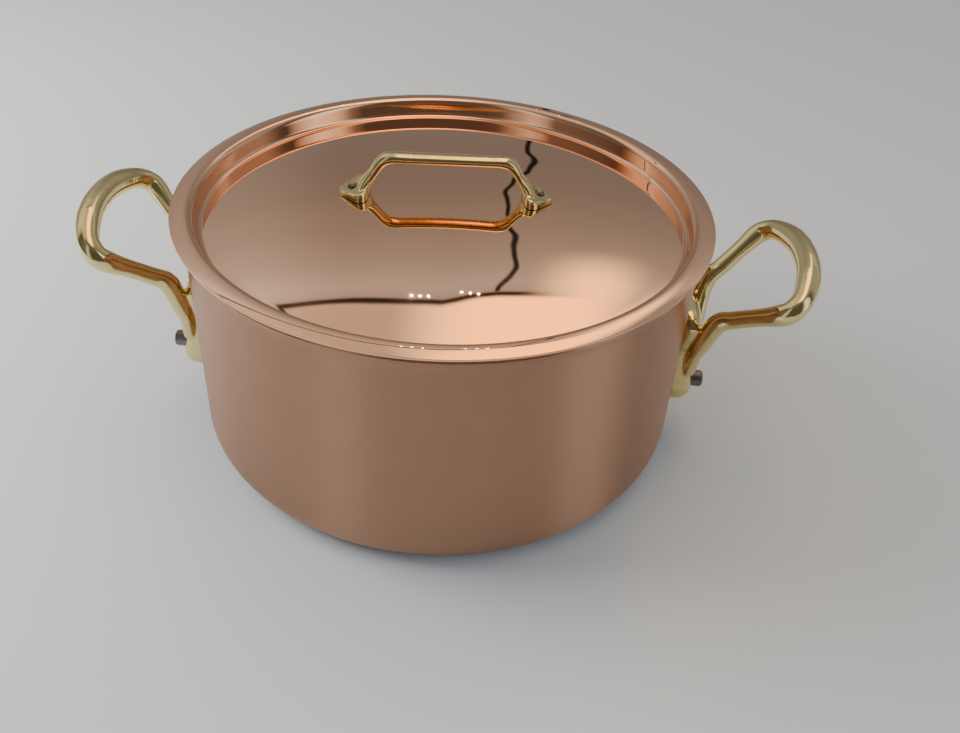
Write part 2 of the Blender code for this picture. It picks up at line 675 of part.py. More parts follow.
def build_lid_rivets(lid_axis):
    steel = make_material("lid_rivet_steel", RIVET_STEEL)
    face = foot_top_at(LID_RIVET_HALF_SPAN)
    under = lid_sheet() / math.cos(LID_DOME_SLOPE) + GAP
    seat = lid_top_at(LID_RIVET_HALF_SPAN + LID_RIVET_HEAD_RADIUS) - under
    profile = rivet_profile(LID_RIVET_RADIUS, face + LID_RIVET_PROUD, seat, LID_RIVET_HEAD_RADIUS,
                            LID_RIVET_HEAD_HEIGHT, LID_RIVET_DISH)
    mesh = revolve("lid_rivet", profile, SMALL_HOLE_STEPS)
    for name, side in (("lid_left_rivet", -1), ("lid_right_rivet", 1)):
        rivet = link(name, mesh, steel, lid_axis)
        rivet.location.x = side * LID_RIVET_HALF_SPAN


def main():
    clear_scene()
    root = bpy.data.objects.new("pot_axis", None)
    bpy.context.scene.collection.objects.link(root)
    lid_axis = bpy.data.objects.new("lid_axis", None)
    bpy.context.scene.collection.objects.link(lid_axis)
    lid_axis.rotation_euler.z = LID_TURN
    heights = (LOWER_RIVET_HEIGHT, UPPER_RIVET_HEIGHT)
    hole_tools = [hole_cutter("cut_holes_right", 1, heights),
                  hole_cutter("cut_holes_left", -1, heights)]
    build_pot(root, hole_tools)
    build_side_handles(root, hole_tools)
    build_side_rivets(root)
    holes = build_lid(lid_axis)
    build_lid_handle(lid_axis, holes)
    build_lid_rivets(lid_axis)


main()
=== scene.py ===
"""Looks of the copper casserole pot: finishes, fine bodies, stage, light and camera.

Units are metres, +Z is up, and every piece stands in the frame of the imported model.
"""

import math

import bmesh
import bpy
from mathutils import Matrix, Vector


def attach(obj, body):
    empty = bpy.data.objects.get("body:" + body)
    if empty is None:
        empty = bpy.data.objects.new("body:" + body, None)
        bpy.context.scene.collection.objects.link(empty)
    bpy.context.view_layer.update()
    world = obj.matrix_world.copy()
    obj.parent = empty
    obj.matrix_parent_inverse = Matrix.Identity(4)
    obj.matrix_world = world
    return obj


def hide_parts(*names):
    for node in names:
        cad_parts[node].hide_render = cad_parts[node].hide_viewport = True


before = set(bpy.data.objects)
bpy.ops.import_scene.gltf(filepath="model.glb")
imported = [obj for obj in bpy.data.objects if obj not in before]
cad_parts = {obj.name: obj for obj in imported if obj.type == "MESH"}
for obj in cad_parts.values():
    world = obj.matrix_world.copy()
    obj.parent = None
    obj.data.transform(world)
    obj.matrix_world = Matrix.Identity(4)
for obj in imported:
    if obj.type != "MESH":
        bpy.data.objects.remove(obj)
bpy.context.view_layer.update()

# Clearance and fineness
GAP = 0.0003
ROUND_STEPS = 256
BEND_STEPS = 10
DOME_STEPS = 24
EDGE_STEPS = 4
LINE_STEPS_PER_SPAN = 40
MITRE_LIMIT = 0.5
MERGE_DISTANCE = 1e-6
CUT_MARGIN = 0.02
CUT_SIDES = 40
EDGE_ROUND = 0.00025
SHARP_TURNED = math.radians(40)
SHARP_CAST = math.radians(50)
MELT_FACTOR = 0.5

# Pot walls
POT_OUTER_RADIUS = 0.122
POT_COPPER_WALL = 0.0018
POT_LINING_WALL = 0.0008
POT_HEIGHT = 0.1221
POT_CORNER_RADIUS = 0.0165
LIP_FLARE_RADIUS = 0.0090
LIP_STRAIGHT = 0.0004
LIP_FLARE_ANGLE = math.radians(45)

# Lid
LID_OVERHANG = 0.0050
LID_OUTER_RADIUS = POT_OUTER_RADIUS + LID_OVERHANG
LID_COPPER_WALL = 0.0012
LID_LINING_WALL = 0.0007
LID_RIM_WIDTH = 0.0072
LID_RIM_SLOPE = math.radians(9)
LID_RIM_CURVE = math.radians(6)
LID_LINING_SETBACK = 0.0024
LID_CREST_RADIUS = 0.0034
LID_WALL_DEPTH = 0.0045
LID_WALL_LEAN = math.radians(10)
LID_FILLET_RADIUS = 0.0022
LID_DOME_SLOPE = math.radians(10.9)
LID_TURN = math.radians(4.3)

# Side handles
TONGUE_TOP_HEIGHT = 0.0765
LOOP_ROOT_STANDOFF = 0.0140
LOOP_ROOT_RISE = 0.0023
LOOP_ROOT_HEIGHT = TONGUE_TOP_HEIGHT + LOOP_ROOT_RISE
LOOP_ROOT_HALF_WIDTH = 0.0210
LOOP_TILT = math.radians(36.8)
LOOP_REACH = 0.0479
LOOP_HALF_WIDTH = 0.0374
LOOP_GRIP_RADIUS = 0.0058
LOOP_CORNER_RADIUS = 0.0052
LOOP_ARM_RADIUS = 0.0044
LOOP_ROOT_RADIUS = 0.0049
LOOP_TAIL_RADIUS = 0.0038
LOOP_STATIONS = 160
LOOP_SIDES = 28
TONGUE_LOBE_HEIGHT = 0.0262
TONGUE_LOBE_RADIUS = 0.0098
TONGUE_TOP_HALF_WIDTH = 0.0180
TONGUE_WAIST_HALF_WIDTH = 0.0076
TONGUE_THICKNESS = 0.0120
TONGUE_TOP_THICKNESS = 0.0080
TONGUE_BELLY = 0.4
TONGUE_FULLNESS = 0.8
TONGUE_STATIONS = 70
TONGUE_SIDES = 40
LEFT_HANDLE_LEAN = math.radians(6.2)
LEFT_HANDLE_DROP = 0.0016
HANDLE_LEAN_HEIGHT = 0.0620
HANDLE_LEAN_STANDOFF = 0.0080
HANDLE_GRAIN = 0.0005
HANDLE_SMOOTHING = 26
HANDLE_REGAIN = 0.00015

# Side handle rivets
RIVET_RADIUS = 0.0043
LOWER_RIVET_PROUD = 0.0058
UPPER_RIVET_PROUD = 0.0006
RIVET_DISH = 0.0006
RIVET_HEAD_RADIUS = 0.0070
RIVET_HEAD_HEIGHT = 0.0022
RIVET_EDGE = 0.0012
RIVET_STEPS = 40
LOWER_RIVET_HEIGHT = TONGUE_LOBE_HEIGHT + 0.0020
UPPER_RIVET_HEIGHT = TONGUE_TOP_HEIGHT - 0.0105

# Side name, turn about Z, lean and drop of its casting
SIDES = (("right", 0.0, 0.0, 0.0), ("left", math.pi, LEFT_HANDLE_LEAN, LEFT_HANDLE_DROP))

# Lid handle
BOW_HEIGHT = 0.0200
BOW_LEAN = 0.0016
BOW_TOP_HALF_SPAN = 0.0290
BOW_FOOT_HALF_SPAN = 0.0405
BOW_BAR_WIDTH = 0.0080
BOW_BAR_THICKNESS = 0.0046
BOW_LEG_THICKNESS = 0.0088
BOW_FLARE_WIDTH = 0.0236
BOW_STATIONS = 110
BOW_SIDES = 24
FOOT_TIP_HALF_SPAN = 0.0508
FOOT_INNER_HALF_SPAN = 0.0365
FOOT_HALF_WIDTH = 0.0120
FOOT_ROOT_THICKNESS = 0.0048
FOOT_TIP_THICKNESS = 0.0020
FOOT_EDGE_BEVEL = 0.0012
FOOT_BEVEL_STEPS = 3
FOOT_SINK = 0.005
BOW_GRAIN = 0.00032
BOW_SMOOTHING = 16
BOW_REGAIN = 0.00008
LID_RIVET_HALF_SPAN = 0.0442
LID_RIVET_RADIUS = 0.0021
LID_RIVET_PROUD = 0.0007
LID_RIVET_DISH = 0.0004
LID_RIVET_HEAD_RADIUS = 0.0042
LID_RIVET_HEAD_HEIGHT = 0.0014
LID_RIVET_EDGE = 0.0003
LID_RIVET_STEPS = 32

# Metals: the two tints, roughness, its swing, anisotropy, and the scale and height of the waves
# in a polished face. Where there are no waves, the polish marks run round the Z axis.
METALS = {
    # The pot's two tints are the lid's copper darkened and deepened: painted shade for the dim
    # floor and room that its wall mirrors.
    "pot_copper_painted_shade": (((0.535, 0.312, 0.205), (0.52, 0.302, 0.197)), 0.36, 0.01, 1.0, None),
    "lid_copper": (((0.96, 0.57, 0.36), (0.95, 0.55, 0.34)), 0.03, 0.01, 0.0, (22.0, 0.00004)),
    "lining": (((0.62, 0.62, 0.61), (0.56, 0.56, 0.55)), 0.32, 0.05, 0.7, None),
    "brass": (((0.83, 0.69, 0.34), (0.78, 0.63, 0.28)), 0.06, 0.02, 0.0, (140.0, 0.0001)),
    "rivet": (((0.24, 0.24, 0.23), (0.14, 0.14, 0.135)), 0.36, 0.08, 0.0, (700.0, 0.00006)),
}
POLISH_TURN = 0.25
# scale and detail of each noise
CLOUDS = (14.0, 4.0)
WIPE_MARKS = (60.0, 6.0)
WIPE_ROUGHNESS = 0.65
WIPE_RANGE = (0.3, 0.7)
WAVE_DETAIL = 1.0

# Camera, as solved from the photograph
IMAGE_WIDTH = 960
FOCAL_PIXELS = 950
SENSOR_WIDTH = 36.0
CAMERA_YAW = math.radians(2.979)
CAMERA_PITCH = math.radians(37.653)
CAMERA_ROLL = math.radians(3.689)
CAMERA_PLACE = Vector((0.0, -0.4065, 0.2133))
CAMERA_ORIGIN_HEIGHT = 0.124
CAMERA_TURN = math.radians(4.3)
CAMERA_CLIP_START = 0.01

# Stage
FLOOR_HALF = 6.0
FLOOR_DROP = 0.0002
FLOOR_TINTS = ((0.47, 0.565, 0.68), (0.44, 0.53, 0.645))
FLOOR_CLOUDS = (1.6, 2.0)
FLOOR_ROUGHNESS = 0.42
FLOOR_SPECULAR = 0.35
BACKDROP_COLOUR = (1.0, 0.99, 0.985)
BACKDROP_LEVEL = 0.60
SOFTBOX_COLOUR = (1.0, 0.85, 0.71)
# where each softbox stands, what it points at, its size and its power
SOFTBOXES = ((Vector((-0.90, 0.05, 0.55)), Vector((-0.60, 0.0, 0.0)), 0.6, 16.0),
             (Vector((0.55, -1.05, 0.75)), Vector((0.25, -0.55, 0.0)), 0.9, 3.5))
SKY_STRENGTH = 1.15
SKY_ANGLE = math.radians(100.0)

# Mirrored tent: brightness by tilt (0 far horizon, 0.5 overhead, 1 the camera's horizon)
TENT_LEVELS = ((0.0, 0.22), (0.10, 0.22), (0.15, 0.25), (0.20, 0.32), (0.235, 0.42), (0.265, 0.60),
               (0.29, 0.38), (0.40, 0.38), (0.52, 0.34), (0.58, 0.18), (0.75, 0.13), (1.0, 0.12))
TENT_FOLDS = (5.0, 2.0)
TENT_FOLD_SWING = 0.010
TENT_EDGE_START = 0.05
TENT_EDGE_DROP = 0.12
TENT_LEFT = (0.22, 0.46)
TENT_LEFT_GAIN = 0.55
# the hem of the opening and the hanging seam, each a thin dark line
LINE_CORE = 0.3
LINE_DARKNESS = 0.94
HEM_TILT = 0.279
HEM_WIDTH = 0.0045
HEM_FADE = (0.08, 0.24)
SEAM_ACROSS = 0.063
SEAM_SWING = 0.10
SEAM_WIDTH = 0.007
SEAM_FADE = 0.005
# the bright opening beyond the hem
OPENING_LEVEL = 3.3
OPENING_COLOUR = (1.0, 0.56, 0.18)
OPENING_WARMTH = 0.5
OPENING_EDGE = 0.006
OPENING_LEFT = (-0.05, 0.16)
OPENING_LEFT_LOSS = 0.90
OPENING_LOW_ACROSS = (0.10, 0.28)
OPENING_LOW_TILT = (0.222, 0.275)
OPENING_RIGHT = (0.20, 0.35)
OPENING_TOP = (0.50, 0.56)
# brightness near the horizon by direction (0 and 1 far side, 0.25 left, 0.5 camera, 0.75 right)
HORIZON_LEVELS = ((0.0, 0.16), (0.17, 0.13), (0.25, 0.12), (0.361, 0.20), (0.375, 0.60),
                  (0.392, 0.86), (0.406, 0.64), (0.439, 0.14), (0.46, 0.10), (0.633, 0.10),
                  (0.65, 0.26), (0.672, 1.05), (0.703, 1.40), (0.728, 0.80), (0.75, 0.10),
                  (0.822, 0.08), (0.90, 0.10), (1.0, 0.16))
HORIZON_NEAR = (0.0, 0.30)
HORIZON_TOP = (0.75, 0.95)

# Small lamps that sparkle in polished faces: the direction to the middle of each row of three
LAMP_GROUPS = ((-0.097, 0.634, 0.767), (0.008, 0.653, 0.757))
LAMP_STEP = 0.018
LAMP_DISTANCE = 3.0
LAMP_RADIUS = 0.006
LAMP_POWER = 0.12


def arc(centre, radius, start_deg, end_deg, steps):
    """Points (r, z) along an arc, both ends included."""
    points = []
    for step in range(steps + 1):
        angle = math.radians(start_deg + (end_deg - start_deg) * step / steps)
        points.append((centre[0] + radius * math.cos(angle), centre[1] + radius * math.sin(angle)))
    return points


def offset_line(points, distance):
    """Shift an open (r, z) line to its left by a distance, keeping ends on the axis there."""
    shifted = []
    last = len(points) - 1
    for index, point in enumerate(points):
        before = points[max(index - 1, 0)]
        after = points[min(index + 1, last)]
        into = Vector((point[0] - before[0], point[1] - before[1]))
        out = Vector((after[0] - point[0], after[1] - point[1]))
        into = into.normalized() if into.length else out.normalized()
        out = out.normalized() if out.length else into
        normal_in = Vector((-into.y, into.x))
        normal_out = Vector((-out.y, out.x))
        normal = (normal_in + normal_out).normalized()
        reach = distance / max(normal.dot(normal_in), MITRE_LIMIT)
        radius = 0.0 if point[0] == 0.0 else point[0] + normal.x * reach
        shifted.append((radius, point[1] + normal.y * reach))
    return shifted


def round_corner(before, corner, after, reach):
    """A corner of an outline, rounded over a reach along both of its sides."""
    middle = Vector(corner)
    start = middle + (Vector(before) - middle).normalized() * reach
    end = middle + (Vector(after) - middle).normalized() * reach
    points = []
    for step in range(EDGE_STEPS + 1):
        t = step / EDGE_STEPS
        point = start * (1 - t) ** 2 + middle * 2 * t * (1 - t) + end * t ** 2
        points.append((point.x, point.y))
    return points


def mesh_from(bm, name):
    """A mesh with outward faces, smooth but for its sharp edges."""
    bmesh.ops.recalc_face_normals(bm, faces=bm.faces)
    mesh = bpy.data.meshes.new(name)
    bm.to_mesh(mesh)
    bm.free()
    mesh.shade_smooth()
    mesh.set_sharp_from_angle(angle=SHARP_TURNED)
    return mesh


def link(name, mesh):
    """An object of the scene that holds a mesh."""
    piece = bpy.data.objects.new(name, mesh)
    bpy.context.scene.collection.objects.link(piece)
    return piece


def revolve(name, profile, steps=ROUND_STEPS):
    """Turn a closed (r, z) outline about the Z axis into one solid."""
    bm = bmesh.new()
    verts = [bm.verts.new((radius, 0.0, height)) for radius, height in profile]
    edges = [bm.edges.new((verts[i], verts[(i + 1) % len(verts)])) for i in range(len(verts))
             if profile[i][0] > 0.0 or profile[(i + 1) % len(verts)][0] > 0.0]
    bmesh.ops.spin(bm, geom=verts + edges, cent=(0, 0, 0), axis=(0, 0, 1),
                   angle=math.tau, steps=steps, use_merge=True, use_duplicate=False)
    bmesh.ops.remove_doubles(bm, verts=bm.verts, dist=MERGE_DISTANCE)
    return mesh_from(bm, name)


def sheet_outline(line, near, far, open_end):
    """Closed outline of a sheet between two offsets of a line, its free edge rounded."""
    outer = offset_line(line, near)
    inner = list(reversed(offset_line(line, far)))
    outline = outer + inner
    corners = (len(line) - 1, len(line)) if open_end == "last" else (0, len(outline) - 1)
    rounded = []
    for index, point in enumerate(outline):
        if index in corners:
            before = outline[index - 1]
            after = outline[(index + 1) % len(outline)]
            rounded += round_corner(before, point, after, EDGE_ROUND)
        else:
            rounded.append(point)
    return rounded


def bridge(bm, rings):
    """Close a row of rings of points into one solid skin."""
    sides = len(rings[0])
    for ring, following in zip(rings, rings[1:]):
        for step in range(sides):
            nxt = (step + 1) % sides
            bm.faces.new((ring[step], ring[nxt], following[nxt], following[step]))
    bm.faces.new(rings[0])
    bm.faces.new(rings[-1])


def sweep(stations, sides):
    """Loft ellipses along stations of (point, tangent, side hint, half side, half across)."""
    bm = bmesh.new()
    rings = []
    for point, tangent, hint, half_side, half_across in stations:
        side = (hint - tangent * hint.dot(tangent)).normalized()
        across = tangent.cross(side)
        ring = []
        for step in range(sides):
            angle = math.tau * (step + 0.5) / sides
            shift = side * (half_side * math.cos(angle)) + across * (half_across * math.sin(angle))
            ring.append(bm.verts.new(point + shift))
        rings.append(ring)
    bridge(bm, rings)
    return bm


def curve_row(points, place):
    """One row of numbers on the Catmull-Rom line through rows, at a place counted in spans."""
    spans = len(points) - 1
    index = min(int(place), spans - 1)
    t = place - index
    picks = [points[min(max(index + shift, 0), spans)] for shift in (-1, 0, 1, 2)]
    return [0.5 * (2 * p1 + (p2 - p0) * t + (2 * p0 - 5 * p1 + 4 * p2 - p3) * t ** 2
                   + (3 * p1 - p0 - 3 * p2 + p3) * t ** 3) for p0, p1, p2, p3 in zip(*picks)]


def smooth_line(points, axes, count):
    """Rows along the smooth line through rows whose first axes are a position.

    Half of the spacing follows the length and half the given rows, so tight bends get more.
    """
    spans = len(points) - 1
    fine = LINE_STEPS_PER_SPAN * spans
    rows = [curve_row(points, spans * step / fine) for step in range(fine + 1)]
    steps = [math.dist(before[:axes], after[:axes]) for before, after in zip(rows, rows[1:])]
    mean = sum(steps) / fine
    reached = [0.0]
    for step in steps:
        reached.append(reached[-1] + step + mean)
    line = []
    index = 0
    for step in range(count):
        wanted = reached[-1] * step / (count - 1)
        while index < fine - 1 and reached[index + 1] < wanted:
            index += 1
        share = (wanted - reached[index]) / (reached[index + 1] - reached[index])
        line.append([low + (high - low) * share
                     for low, high in zip(rows[index], rows[index + 1])])
    return line


def tangents(line):
    """Direction of a line of points at each of its points."""
    last = len(line) - 1
    return [(line[min(i + 1, last)] - line[max(i - 1, 0)]).normalized() for i in range(len(line))]


def blend(points, value):
    """Read a value from (place, value) pairs with straight lines between them."""
    for (left, low), (right, high) in zip(points, points[1:]):
        if value <= right:
            return low + (high - low) * max(value - left, 0.0) / (right - left)
    return points[-1][1]


def pot_sheet():
    """Thickness of the pot's two walls with the gap between them."""
    return POT_COPPER_WALL + GAP + POT_LINING_WALL


def lip_seat_radius():
    """Radius of the lining's top edge, on which the lid rests."""
    flare_run = LIP_FLARE_RADIUS * (1 - math.cos(LIP_FLARE_ANGLE))
    straight_run = LIP_STRAIGHT * math.sin(LIP_FLARE_ANGLE)
    return POT_OUTER_RADIUS + flare_run + straight_run - pot_sheet() * math.cos(LIP_FLARE_ANGLE)


def pot_line():
    """Outer (r, z) line of the pot, from the bottom centre up to the lip."""
    straight = (LIP_STRAIGHT * math.sin(LIP_FLARE_ANGLE), LIP_STRAIGHT * math.cos(LIP_FLARE_ANGLE))
    lip_rise = pot_sheet() * math.sin(LIP_FLARE_ANGLE)
    flare_rise = LIP_FLARE_RADIUS * math.sin(LIP_FLARE_ANGLE) + straight[1]
    corner = (POT_OUTER_RADIUS - POT_CORNER_RADIUS, POT_CORNER_RADIUS)
    flare = (POT_OUTER_RADIUS + LIP_FLARE_RADIUS, POT_HEIGHT - lip_rise - flare_rise)
    line = [(0.0, 0.0), (0.5 * corner[0], 0.0)]
    line += arc(corner, POT_CORNER_RADIUS, -90, 0, 2 * BEND_STEPS)
    wall_top = flare[1]
    line += [(POT_OUTER_RADIUS, POT_CORNER_RADIUS + (wall_top - POT_CORNER_RADIUS) * step / 4)
             for step in (1, 2, 3)]
    line += arc(flare, LIP_FLARE_RADIUS, 180, 180 - math.degrees(LIP_FLARE_ANGLE), BEND_STEPS)
    line.append((line[-1][0] + straight[0], line[-1][1] + straight[1]))
    return line


def lid_sheet():
    """Thickness of the lid's two skins with the gap between them."""
    return LID_COPPER_WALL + GAP + LID_LINING_WALL


def lid_shape():
    """Top (r, z) line of the lid at no set height, from its outer edge in to the centre."""
    wall_angle = math.pi / 2 - LID_WALL_LEAN
    inner_slope = LID_RIM_SLOPE - LID_RIM_CURVE
    outer_slope = LID_RIM_SLOPE + LID_RIM_CURVE
    rim_radius = LID_RIM_WIDTH / (2 * math.sin(LID_RIM_CURVE))
    rim_centre = (LID_OUTER_RADIUS - rim_radius * math.sin(outer_slope),
                  -rim_radius * math.cos(outer_slope))
    line = arc(rim_centre, rim_radius, 90 - math.degrees(outer_slope),
               90 - math.degrees(inner_slope), BEND_STEPS)
    shoulder = line.pop()
    crest = (shoulder[0] - LID_CREST_RADIUS * math.sin(inner_slope),
             shoulder[1] - LID_CREST_RADIUS * math.cos(inner_slope))
    line += arc(crest, LID_CREST_RADIUS, 90 - math.degrees(inner_slope),
                90 + math.degrees(wall_angle), 2 * BEND_STEPS)
    foot = (line[-1][0] - LID_WALL_DEPTH * math.cos(wall_angle),
            line[-1][1] - LID_WALL_DEPTH * math.sin(wall_angle))
    hollow = (foot[0] - LID_FILLET_RADIUS * math.sin(wall_angle),
              foot[1] + LID_FILLET_RADIUS * math.cos(wall_angle))
    line += arc(hollow, LID_FILLET_RADIUS, math.degrees(wall_angle) - 90,
                -90 - math.degrees(LID_DOME_SLOPE), BEND_STEPS)
    dome_radius = line[-1][0] / math.sin(LID_DOME_SLOPE)
    dome_centre = (0.0, line[-1][1] - dome_radius * math.cos(LID_DOME_SLOPE))
    dome = arc(dome_centre, dome_radius, 90 - math.degrees(LID_DOME_SLOPE), 90,
               DOME_STEPS)[1:]
    dome[-1] = (0.0, dome[-1][1])
    return line + dome


def rim_of(line):
    """The points of a lid line that lie on its rim."""
    inner = LID_OUTER_RADIUS - LID_RIM_WIDTH - LID_CREST_RADIUS
    return [point for point in line if point[0] > inner]


def lid_line():
    """The lid's top line at the height where its underside rests on the lip."""
    shape = lid_shape()
    seat = rim_of(offset_line(shape, lid_sheet()))
    lift = POT_HEIGHT + GAP - blend(sorted(seat), lip_seat_radius())
    return [(radius, height + lift) for radius, height in shape]


def lid_lining_line():
    """The part of the lid's line that is lined, which stops short of the outer edge."""
    line = lid_line()
    end = LID_OUTER_RADIUS - LID_LINING_SETBACK
    start = (end, blend(sorted(rim_of(line)), end))
    return [start] + [point for point in line if point[0] < end - LID_LINING_SETBACK / 4]


def lid_top_at(radius):
    """Height of the lid's domed panel at a distance from its axis."""
    panel = sorted(point for point in lid_line() if point[0] < LID_OUTER_RADIUS - LID_RIM_WIDTH)
    return blend(panel, radius)


def loop_stations():
    """Bar of a side handle at +X: up one edge of the tongue, round the loop and down again."""
    root_radius = POT_OUTER_RADIUS + LOOP_ROOT_STANDOFF
    drop = LOOP_ROOT_HEIGHT - TONGUE_LOBE_HEIGHT
    # share of the drop, share of the standoff, share of the root's half width, bar radius
    tail = [(0.81, 0.57, 0.26, LOOP_TAIL_RADIUS), (0.58, 0.64, 0.38, LOOP_TAIL_RADIUS),
            (0.36, 0.71, 0.62, LOOP_ROOT_RADIUS), (0.17, 0.80, 0.85, LOOP_ROOT_RADIUS)]
    # share of the reach, share of the loop's half width, bar radius
    root_share = LOOP_ROOT_HALF_WIDTH / LOOP_HALF_WIDTH
    arm = [(0.0, root_share, LOOP_ROOT_RADIUS), (0.14, 0.64, LOOP_ARM_RADIUS),
           (0.41, 0.84, LOOP_ARM_RADIUS), (0.59, 0.975, LOOP_CORNER_RADIUS),
           (0.70, 1.0, LOOP_CORNER_RADIUS), (0.83, 0.87, LOOP_CORNER_RADIUS),
           (0.937, 0.56, LOOP_GRIP_RADIUS), (0.987, 0.27, LOOP_GRIP_RADIUS)]
    half = []
    for down, out, across, bar in tail:
        half.append((POT_OUTER_RADIUS + out * LOOP_ROOT_STANDOFF, across * LOOP_ROOT_HALF_WIDTH,
                     LOOP_ROOT_HEIGHT - down * drop, bar))
    for along, across, bar in arm:
        half.append((root_radius + along * LOOP_REACH * math.cos(LOOP_TILT),
                     across * LOOP_HALF_WIDTH,
                     LOOP_ROOT_HEIGHT + along * LOOP_REACH * math.sin(LOOP_TILT), bar))
    tip = (root_radius + LOOP_REACH * math.cos(LOOP_TILT), 0.0,
           LOOP_ROOT_HEIGHT + LOOP_REACH * math.sin(LOOP_TILT), LOOP_GRIP_RADIUS)
    rows = half + [tip] + [(x, -y, z, bar) for x, y, z, bar in reversed(half)]
    rows = smooth_line(rows, 3, LOOP_STATIONS)
    line = [Vector(row[:3]) for row in rows]
    hint = Vector((-math.sin(LOOP_TILT), 0.0, math.cos(LOOP_TILT)))
    return [(point, tangent, hint, row[3], row[3])
            for point, tangent, row in zip(line, tangents(line), rows)]


def tongue_rows():
    """Height, half width and thickness of the tongue, from its top to the bottom of its lobe."""
    wide = TONGUE_TOP_HALF_WIDTH
    waist = TONGUE_WAIST_HALF_WIDTH
    lobe = TONGUE_LOBE_RADIUS
    waist_height = TONGUE_LOBE_HEIGHT + 2 * lobe
    span = TONGUE_TOP_HEIGHT - waist_height
    # share of the height above the waist, half width, share of the full thickness
    upper = [(1.0, 0.55 * wide, 0.45), (0.97, 0.80 * wide, 0.80), (0.88, 0.95 * wide, 1.0),
             (0.75, wide, 1.0), (0.35, 0.4 * wide + 0.6 * waist, 1.0), (0.12, 1.05 * waist, 1.0),
             (0.0, waist, 1.0), (-0.3, 1.1 * waist, 1.0)]
    rows = []
    for up, half_width, share in upper:
        height = waist_height + up * span
        rows.append((height, half_width, share * tongue_thickness(height)))
    for degrees in (-20, 0, 22, 42, 58, 71, 82):
        angle = math.radians(degrees)
        depth = TONGUE_THICKNESS * min(1.0, math.cos(max(angle, 0.0))) ** 0.5
        rows.append((TONGUE_LOBE_HEIGHT - lobe * math.sin(angle), lobe * math.cos(angle), depth))
    return rows


def tongue_ring(height, half_width, thickness, lean):
    """One level outline of the tongue: full in front, drawn in again where it meets the wall."""
    middle = POT_OUTER_RADIUS + TONGUE_BELLY * thickness
    front = (1 - TONGUE_BELLY) * thickness
    back = 2 * TONGUE_BELLY * thickness + max(HANDLE_LEAN_HEIGHT - height, 0.0) * math.tan(lean)
    points = []
    for step in range(TONGUE_SIDES):
        angle = math.tau * (step + 0.5) / TONGUE_SIDES
        along = math.copysign(abs(math.cos(angle)) ** TONGUE_FULLNESS, math.cos(angle))
        across = math.copysign(abs(math.sin(angle)) ** TONGUE_FULLNESS, math.sin(angle))
        reach = front if along > 0.0 else back
        points.append((middle + along * reach, across * half_width, height))
    return points


def tongue_solid(lean):
    """The tongue as a round paddle that reaches into the wall, which then cuts it to fit."""
    bm = bmesh.new()
    rings = []
    for height, half_width, thickness in smooth_line(tongue_rows(), 1, TONGUE_STATIONS):
        ring = tongue_ring(height, half_width, thickness, lean)
        rings.append([bm.verts.new(point) for point in ring])
    bridge(bm, rings)
    return bm


def casting_place(lean, drop):
    """Lean a casting at +X about a level line through its tongue, top inwards, and lower it."""
    pivot = Vector((POT_OUTER_RADIUS + HANDLE_LEAN_STANDOFF, 0.0, HANDLE_LEAN_HEIGHT))
    lowered = pivot - Vector((0.0, 0.0, drop))
    return (Matrix.Translation(lowered) @ Matrix.Rotation(-lean, 4, "Y")
            @ Matrix.Translation(-pivot))


def tongue_thickness(height):
    """Thickness of the tongue at a height, which thins from its lobe to its top."""
    return blend(((TONGUE_LOBE_HEIGHT, TONGUE_THICKNESS),
                  (TONGUE_TOP_HEIGHT, TONGUE_TOP_THICKNESS)), height)


def tongue_face_radius(height, lean, drop):
    """Distance of the tongue's outer face from the pot's axis at a height."""
    face = tongue_thickness(height) - HANDLE_LEAN_STANDOFF
    below = HANDLE_LEAN_HEIGHT - drop - height
    return (POT_OUTER_RADIUS + HANDLE_LEAN_STANDOFF + face / math.cos(lean)
            + below * math.tan(lean))


def joined(name, solids):
    """One mesh object that holds several closed solids."""
    mesh = bpy.data.meshes.new(name)
    merged = bmesh.new()
    for solid in solids:
        bmesh.ops.recalc_face_normals(solid, faces=solid.faces)
        part = bpy.data.meshes.new(name)
        solid.to_mesh(part)
        solid.free()
        merged.from_mesh(part)
        bpy.data.meshes.remove(part)
    merged.to_mesh(mesh)
    merged.free()
    return link(name, mesh)


def difference(piece, cutter):
    """Cut a tool out of a piece."""
    cut = piece.modifiers.new("cut", "BOOLEAN")
    cut.operation = "DIFFERENCE"
    cut.solver = "EXACT"
    cut.object = cutter


def settle(piece):
    """Replace a piece's mesh by what its modifiers make of it."""
    graph = bpy.context.evaluated_depsgraph_get()
    mesh = bpy.data.meshes.new_from_object(piece.evaluated_get(graph))
    piece.modifiers.clear()
    piece.data = mesh
    mesh.shade_smooth()
    mesh.set_sharp_from_angle(angle=SHARP_CAST)


def fuse(piece, grain, smoothing, regain):
    """Melt the solids of a piece into one casting with soft inner corners."""
    skin = piece.modifiers.new("skin", "REMESH")
    skin.mode = "VOXEL"
    skin.voxel_size = grain
    skin.adaptivity = 0.0
    soft = piece.modifiers.new("soft", "SMOOTH")
    soft.factor = MELT_FACTOR
    soft.iterations = smoothing
    full = piece.modifiers.new("full", "DISPLACE")
    full.strength = regain
    full.mid_level = 0.0


def cylinder_tool(name, start, end, radius):
    """A round tool between two points."""
    axis = Vector(end) - Vector(start)
    turn = Vector((0, 0, 1)).rotation_difference(axis).to_matrix().to_4x4()
    middle = Matrix.Translation((Vector(start) + Vector(end)) / 2) @ turn
    bm = bmesh.new()
    bmesh.ops.create_cone(bm, cap_ends=True, segments=CUT_SIDES, radius1=radius, radius2=radius,
                          depth=axis.length, matrix=middle)
    return link(name, mesh_from(bm, name))


def drop_tools(tools):
    """Remove the tools that have done their cuts."""
    for tool in tools:
        bpy.data.objects.remove(tool, do_unlink=True)


def node_of(tree, kind, **values):
    """A new shader node with some of its settings."""
    node = tree.nodes.new(kind)
    for name, value in values.items():
        setattr(node, name, value)
    return node


